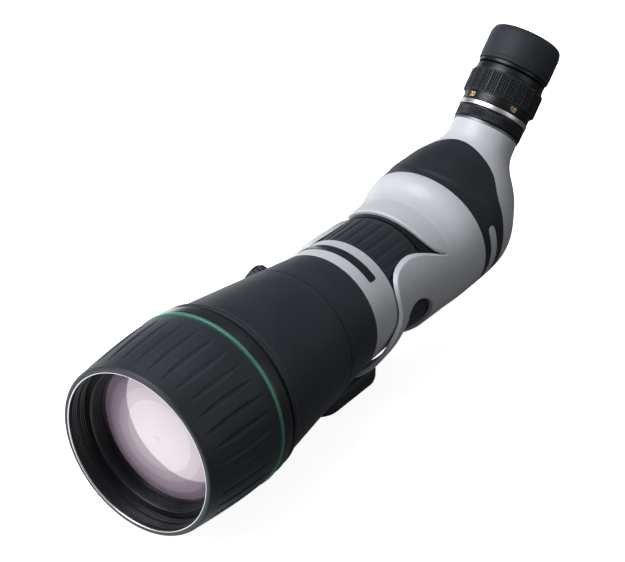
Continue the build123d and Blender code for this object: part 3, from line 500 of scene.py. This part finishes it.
def makeBadge():
    # a grid across the slot shape, dished slightly at its border, with a skirt that runs into the ring
    half, arc = nameRing["badgeHalfWidth"], nameRing["badgeHalfAngle"] * nameRing["frontRadius"]
    bm = bmesh.new()
    rows = []
    for along in spaced(-arc, arc, 160):
        toEnd = arc - abs(along)
        fromCorner = max(0.0, nameRing["badgeCorner"] - toEnd)
        corner = nameRing["badgeCorner"]
        width = half - corner + math.sqrt(max(0.0, corner ** 2 - fromCorner ** 2))
        row = []
        for share, drop in ((-1, 0.6), (-1, 0.0), (-0.92, -0.06), (-0.85, 0.0), (0, 0.0), (0.85, 0.0),
                            (0.92, -0.06),
                            (1, 0.0), (1, 0.6)):
            station = nameRing["badgeStation"] + share * max(width, 0.02)
            radius = nameRadius(station) + nameRing["badgeProud"] - drop
            row.append(bm.verts.new(aroundBarrel(station, radius,
                                                 math.pi / 2 + along / nameRing["frontRadius"])))
        rows.append(row)
    for row, following in zip(rows, rows[1:]):
        for index in range(len(row) - 1):
            bm.faces.new((row[index], following[index], following[index + 1], row[index + 1]))
        bm.faces.new((row[-1], following[-1], following[0], row[0]))
    bm.faces.new(rows[0])
    bm.faces.new(rows[-1][::-1])
    bmesh.ops.recalc_face_normals(bm, faces=bm.faces)
    mesh = bpy.data.meshes.new("badgePlate")
    bm.to_mesh(mesh)
    bm.free()
    mesh.shade_smooth()
    mesh.set_sharp_from_angle(angle=math.radians(30))
    mesh.materials.append(enamel)
    piece = bpy.data.objects.new("badgePlate", mesh)
    bpy.context.scene.collection.objects.link(piece)
    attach(piece, "scope")
    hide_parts("badge_plate")


makeBadge()
print("name ring made")

# focus collar: thirty rounded ribs, moulded in one rubber sleeve
focusGrip = dict(front=188.5, rear=221.2, bore=33.07, radius=35.4, ribs=30, cut=2.4, cutDepth=0.65, flat=1.2,
                 runOut=3.5)


def focusRelief(station, radius, angle):
    if radius < focusGrip["radius"] - 0.4:
        return 0.0
    end = min(station - focusGrip["front"], focusGrip["rear"] - station) - focusGrip["flat"]
    if end <= 0:
        return 0.0
    pitch = 2 * math.pi / focusGrip["ribs"]
    across = radius * ((angle + pitch / 2) % pitch - pitch / 2)
    lift = focusGrip["cut"] - focusGrip["cutDepth"]
    if abs(across) >= focusGrip["cut"]:
        return 0.0
    runOut = math.sin(min(1.0, end / focusGrip["runOut"]) * math.pi / 2)
    return -runOut * max(0.0, math.sqrt(focusGrip["cut"] ** 2 - across ** 2) - lift)


gripLine = [(focusGrip["front"], 35.0), (188.6, 35.2), (188.9, 35.4)]
gripLine += [(station, 35.4) for station in spaced(189.3, 220.4, 52)]
gripLine += [(220.8, 35.4), (221.1, 35.2), (focusGrip["rear"], 35.0), (focusGrip["rear"], focusGrip["bore"]),
             (focusGrip["front"], focusGrip["bore"])]
turnPiece("focusGrip", gripLine, aroundBarrel, rubber, "focus_ring_body", ["focus_grip"],
          segments=600, relief=focusRelief)
print("focus collar made")

# lock ring: straight-and-cross knurl between two plain edges
lockRing = dict(front=66.72, rear=74.3, bore=17.25, radius=21.3, knurlPitch=1.1, knurlDepth=0.3,
                knurlFront=67.6, knurlRear=73.3)


def knurlRelief(station, radius, angle):
    if radius < lockRing["radius"] - 0.25 or not lockRing["knurlFront"] < station < lockRing["knurlRear"]:
        return 0.0
    count = round(2 * math.pi * lockRing["radius"] / lockRing["knurlPitch"])
    turnWave = abs(math.sin(angle * count / 2))
    along = abs(math.sin(math.pi * (station - lockRing["knurlFront"]) / lockRing["knurlPitch"]))
    return -lockRing["knurlDepth"] * (1 - min(turnWave, along) * 1.2)


ringLine = [(lockRing["front"], 21.0), (66.85, 21.2), (67.1, lockRing["radius"])]
ringLine += [(station, lockRing["radius"]) for station in spaced(67.5, 73.4, 28)]
ringLine += [(73.9, lockRing["radius"]), (74.2, 21.15), (lockRing["rear"], 20.9),
             (lockRing["rear"], lockRing["bore"]), (lockRing["front"], lockRing["bore"])]
turnPiece("lockRing", ringLine, aroundEyepiece, blackTurnedEye, "lock_ring_body",
          ["lock_ring"],
          segments=720, relief=knurlRelief)

# chrome ring with its bevelled shoulder
turnPiece("chromeRing", softened([(74.6, 17.02), (74.6, 21.55), (77.4, 21.55), (77.4, 17.02)], 0.3, 4),
          aroundEyepiece, chromePlate, "scope",
          ["chrome_ring"])

# zoom sleeve: scale band in front, smooth cone behind, relief inside for the cam pins
zoomLine = [(77.7, 17.05), (77.7, 21.2), (83.2, 21.35), (83.2, 20.8), (98.2, 20.8), (98.2, 21.7),
            (99.2, 21.75),
            (102.4, 21.4), (102.4, 17.05), (100.6, 17.05), (100.6, 18.65), (79.4, 18.65), (79.4, 17.05)]
turnPiece("zoomSleeve", softened(zoomLine, 0.2), aroundEyepiece, blackTurnedEye, "zoom_ring_body",
          ["zoom_ring"], segments=320)

# zoom grip: columns of small square teeth, three across, with a smooth narrow rib between the columns
zoomGrip = dict(front=83.22, rear=98.18, bore=20.82, floor=22.1, rise=1.1, columns=24, ribWidth=1.15,
                teethAcross=3,
                toothPitch=1.5, cut=0.2, slope=0.22, endMargin=0.5)


def toothRelief(station, radius, angle):
    if radius < zoomGrip["floor"] - 0.2:
        return 0.0
    first, last = zoomGrip["front"] + zoomGrip["endMargin"], zoomGrip["rear"] - zoomGrip["endMargin"]
    end = min(1.0, max(0.0, min(station - first, last - station) / zoomGrip["slope"]))
    columnPitch = 2 * math.pi * zoomGrip["floor"] / zoomGrip["columns"]
    span = columnPitch - zoomGrip["ribWidth"]
    across = (zoomGrip["floor"] * angle) % columnPitch - zoomGrip["ribWidth"] / 2
    if not 0 < across < span:
        return zoomGrip["rise"] * end
    toothWidth = span / zoomGrip["teethAcross"]
    toSide = min(across % toothWidth, toothWidth - across % toothWidth)
    toEnd = min((station - first) % zoomGrip["toothPitch"],
                zoomGrip["toothPitch"] - (station - first) % zoomGrip["toothPitch"])
    tooth = min(1.0, max(0.0, (min(toSide, toEnd) - zoomGrip["cut"]) / zoomGrip["slope"]))
    return zoomGrip["rise"] * tooth * end


toothLine = [(zoomGrip["front"], 21.9), (83.3, zoomGrip["floor"])]
toothLine += [(station, zoomGrip["floor"]) for station in spaced(83.5, 97.9, 96)]
toothLine += [(98.1, zoomGrip["floor"]), (zoomGrip["rear"], 21.9), (zoomGrip["rear"], zoomGrip["bore"]),
              (zoomGrip["front"], zoomGrip["bore"])]
turnPiece("zoomGrip", toothLine, aroundEyepiece, rubber, "zoom_ring_body", ["zoom_grip"],
          segments=720, relief=toothRelief, sharp=50)

# eyecup: soft rounded mouth, plain wall, and a thin groove above its base
cupLine = [(105.92, 18.97), (105.92, 21.9), (106.05, 22.25), (106.4, 22.45), (107.0, 22.5), (107.5, 22.45),
           (107.75, 22.1), (108.05, 22.1), (108.3, 22.45), (109.2, 22.6)]
cupLine += [(station, 22.6) for station in spaced(110.5, 121.5, 12)]
cupLine += [(123.5, 22.5), (125.2, 22.2), (126.6, 21.7), (127.5, 21.0), (128.0, 20.2), (128.2, 19.3),
            (128.1, 18.2),
            (127.8, 17.2), (127.2, 16.5), (126.4, 15.9), (125.5, 15.65), (124.82, 15.6), (124.82, 18.97)]
turnPiece("eyecupRubber", cupLine, aroundEyepiece, cupRubber, "eyecup", ["eyecup_rubber"],
          segments=320)
print("eyepiece made")

# zoom numerals, printed on the scale band and read with the eyepiece upwards
scale = dict(size=4.2, bold=0.12, radius=21.3, station=79.0, lift=0.04, marks=(("20", 113.5), ("60", 35.5)))


def printNumeral(text, angle):
    curve = bpy.data.curves.new("numeral" + text, "FONT")
    curve.body = text
    curve.size = scale["size"]
    curve.extrude = scale["lift"]
    curve.offset = scale["bold"]
    curve.align_x = "CENTER"
    holder = bpy.data.objects.new("numeral" + text, curve)
    mesh = bpy.data.meshes.new_from_object(holder)
    bpy.data.objects.remove(holder)
    for vertex in mesh.vertices:
        turn = math.radians(angle) - vertex.co.x / scale["radius"]
        vertex.co = aroundEyepiece(scale["station"] + vertex.co.y, scale["radius"] + vertex.co.z, turn)
    mesh.materials.clear()
    mesh.materials.append(scaleInk)
    piece = bpy.data.objects.new("numeral" + text, mesh)
    bpy.context.scene.collection.objects.link(piece)
    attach(piece, "zoom_ring_body")


for text, angle in scale["marks"]:
    printNumeral(text, angle)
print("scale printed")

# studio: pale floor, a large soft key over the left shoulder, a fill, and weaker front and top lights
studio = dict(floorSize=8.0, keyPower=20.0, keySize=0.9, fillPower=4.0, topPower=0.4, frontPower=5.0,
              sky=0.13, floorGlow=0.85, floorBright=1.7, floorDark=0.06, floorAcross=(0.803, 0.596, 0.0),
              shadeStart=-0.12, shadeEnd=-0.03, lampColour=(0.975, 0.985, 1.0))

floorMesh = bpy.data.meshes.new("studioFloor")
half = studio["floorSize"] / 2
floorMesh.from_pydata([(-half, -half, -0.0005), (half, -half, -0.0005), (half, half, -0.0005),
                       (-half, half, -0.0005)],
                      [], [(0, 1, 2, 3)])
floor = bpy.data.objects.new("studioFloor", floorMesh)
bpy.context.scene.collection.objects.link(floor)
paper, tree, shader, place = startMaterial("whitePaperSweep", Roughness=0.9)
fibre = addNode(tree, "ShaderNodeTexNoise", {"Vector": place, "Scale": perMillimetre(200.0)})
tone = addNode(tree, "ShaderNodeMix", {"Factor": fibre.outputs["Fac"], "A": hexColour("#fafafa"),
                                       "B": hexColour("#ffffff")}, data_type="RGBA")
tree.links.new(tone.outputs["Result"], shader.inputs["Base Color"])
# to the eye the sweep is white all over; for bounced light it is white on the left and black on the right,
# as when a dark flag lies beside the object
shader.inputs["Emission Color"].default_value = (1, 1, 1, 1)
shader.inputs["Emission Strength"].default_value = studio["floorGlow"]
side = addNode(tree, "ShaderNodeVectorMath", {0: place, 1: studio["floorAcross"]},
               operation="DOT_PRODUCT")
shade = addNode(tree, "ShaderNodeMapRange", {"Value": side.outputs["Value"], "From Min": studio["shadeStart"],
                                             "From Max": studio["shadeEnd"],
                                             "To Min": studio["floorBright"], "To Max": studio["floorDark"]})
flag = addNode(tree, "ShaderNodeEmission", {"Strength": shade.outputs["Result"]})
ray = addNode(tree, "ShaderNodeLightPath")
blend = addNode(tree, "ShaderNodeMixShader", {"Fac": ray.outputs["Is Camera Ray"],
                                              1: flag.outputs["Emission"],
                                              2: shader.outputs["BSDF"]})
tree.links.new(blend.outputs["Shader"], tree.nodes["Material Output"].inputs["Surface"])
floorMesh.materials.append(paper)

world = bpy.data.worlds.new("studioSky")
world.use_nodes = True
sky = world.node_tree.nodes["Background"]
sky.inputs["Color"].default_value = hexColour("#f6f8fb")
ray = addNode(world.node_tree, "ShaderNodeLightPath")
glow = addNode(world.node_tree, "ShaderNodeMapRange",
               {"Value": ray.outputs["Is Camera Ray"], "To Min": studio["sky"]})
world.node_tree.links.new(glow.outputs["Result"], sky.inputs["Strength"])
bpy.context.scene.world = world

view = dict(azimuth=math.radians(36.55), elevation=math.radians(32.16), lens=132.5, sensor=36.0,
            place=(0.64899, -0.89280, 0.77111))
right = Vector((math.cos(view["azimuth"]), math.sin(view["azimuth"]), 0.0))
back = Vector((math.sin(view["azimuth"]) * math.cos(view["elevation"]),
               -math.cos(view["azimuth"]) * math.cos(view["elevation"]), math.sin(view["elevation"])))
up = back.cross(right)
middle = Vector((0.0, 0.03, 0.09))


def softbox(name, direction, distance, size, power):
    lamp = bpy.data.lights.new(name, "AREA")
    lamp.shape = "RECTANGLE"
    lamp.size, lamp.size_y = size
    lamp.energy = power
    lamp.color = studio["lampColour"]
    holder = bpy.data.objects.new(name, lamp)
    holder.location = middle + direction.normalized() * distance
    holder.rotation_euler = direction.to_track_quat("Z", "Y").to_euler()
    bpy.context.scene.collection.objects.link(holder)


softbox("keySoftbox", -0.75 * right + 1.2 * Vector((0, 0, 1)) + 0.25 * back, 1.3,
        (studio["keySize"], studio["keySize"]),
        studio["keyPower"])
softbox("fillSoftbox", 1.0 * right + 0.5 * back + 0.3 * Vector((0, 0, 1)), 1.8, (0.8, 1.2),
        studio["fillPower"])
softbox("frontSoftbox", Vector((-0.55, -1.0, 0.35)), 1.3, (0.5, 0.5), studio["frontPower"])
softbox("topSoftbox", Vector((0.2, 0.6, 1.4)), 1.4, (0.7, 0.7), studio["topPower"])

camera = bpy.data.objects.new("camera", bpy.data.cameras.new("camera"))
camera.data.lens = view["lens"]
camera.data.sensor_width = view["sensor"]
camera.data.sensor_fit = "HORIZONTAL"
camera.data.clip_start = 0.01
rotation = Matrix((right, up, back)).transposed().to_4x4()
camera.matrix_world = Matrix.Translation(view["place"]) @ rotation
bpy.context.scene.collection.objects.link(camera)
bpy.context.scene.camera = camera
bpy.context.scene.view_settings.view_transform = "Standard"
print("studio set")
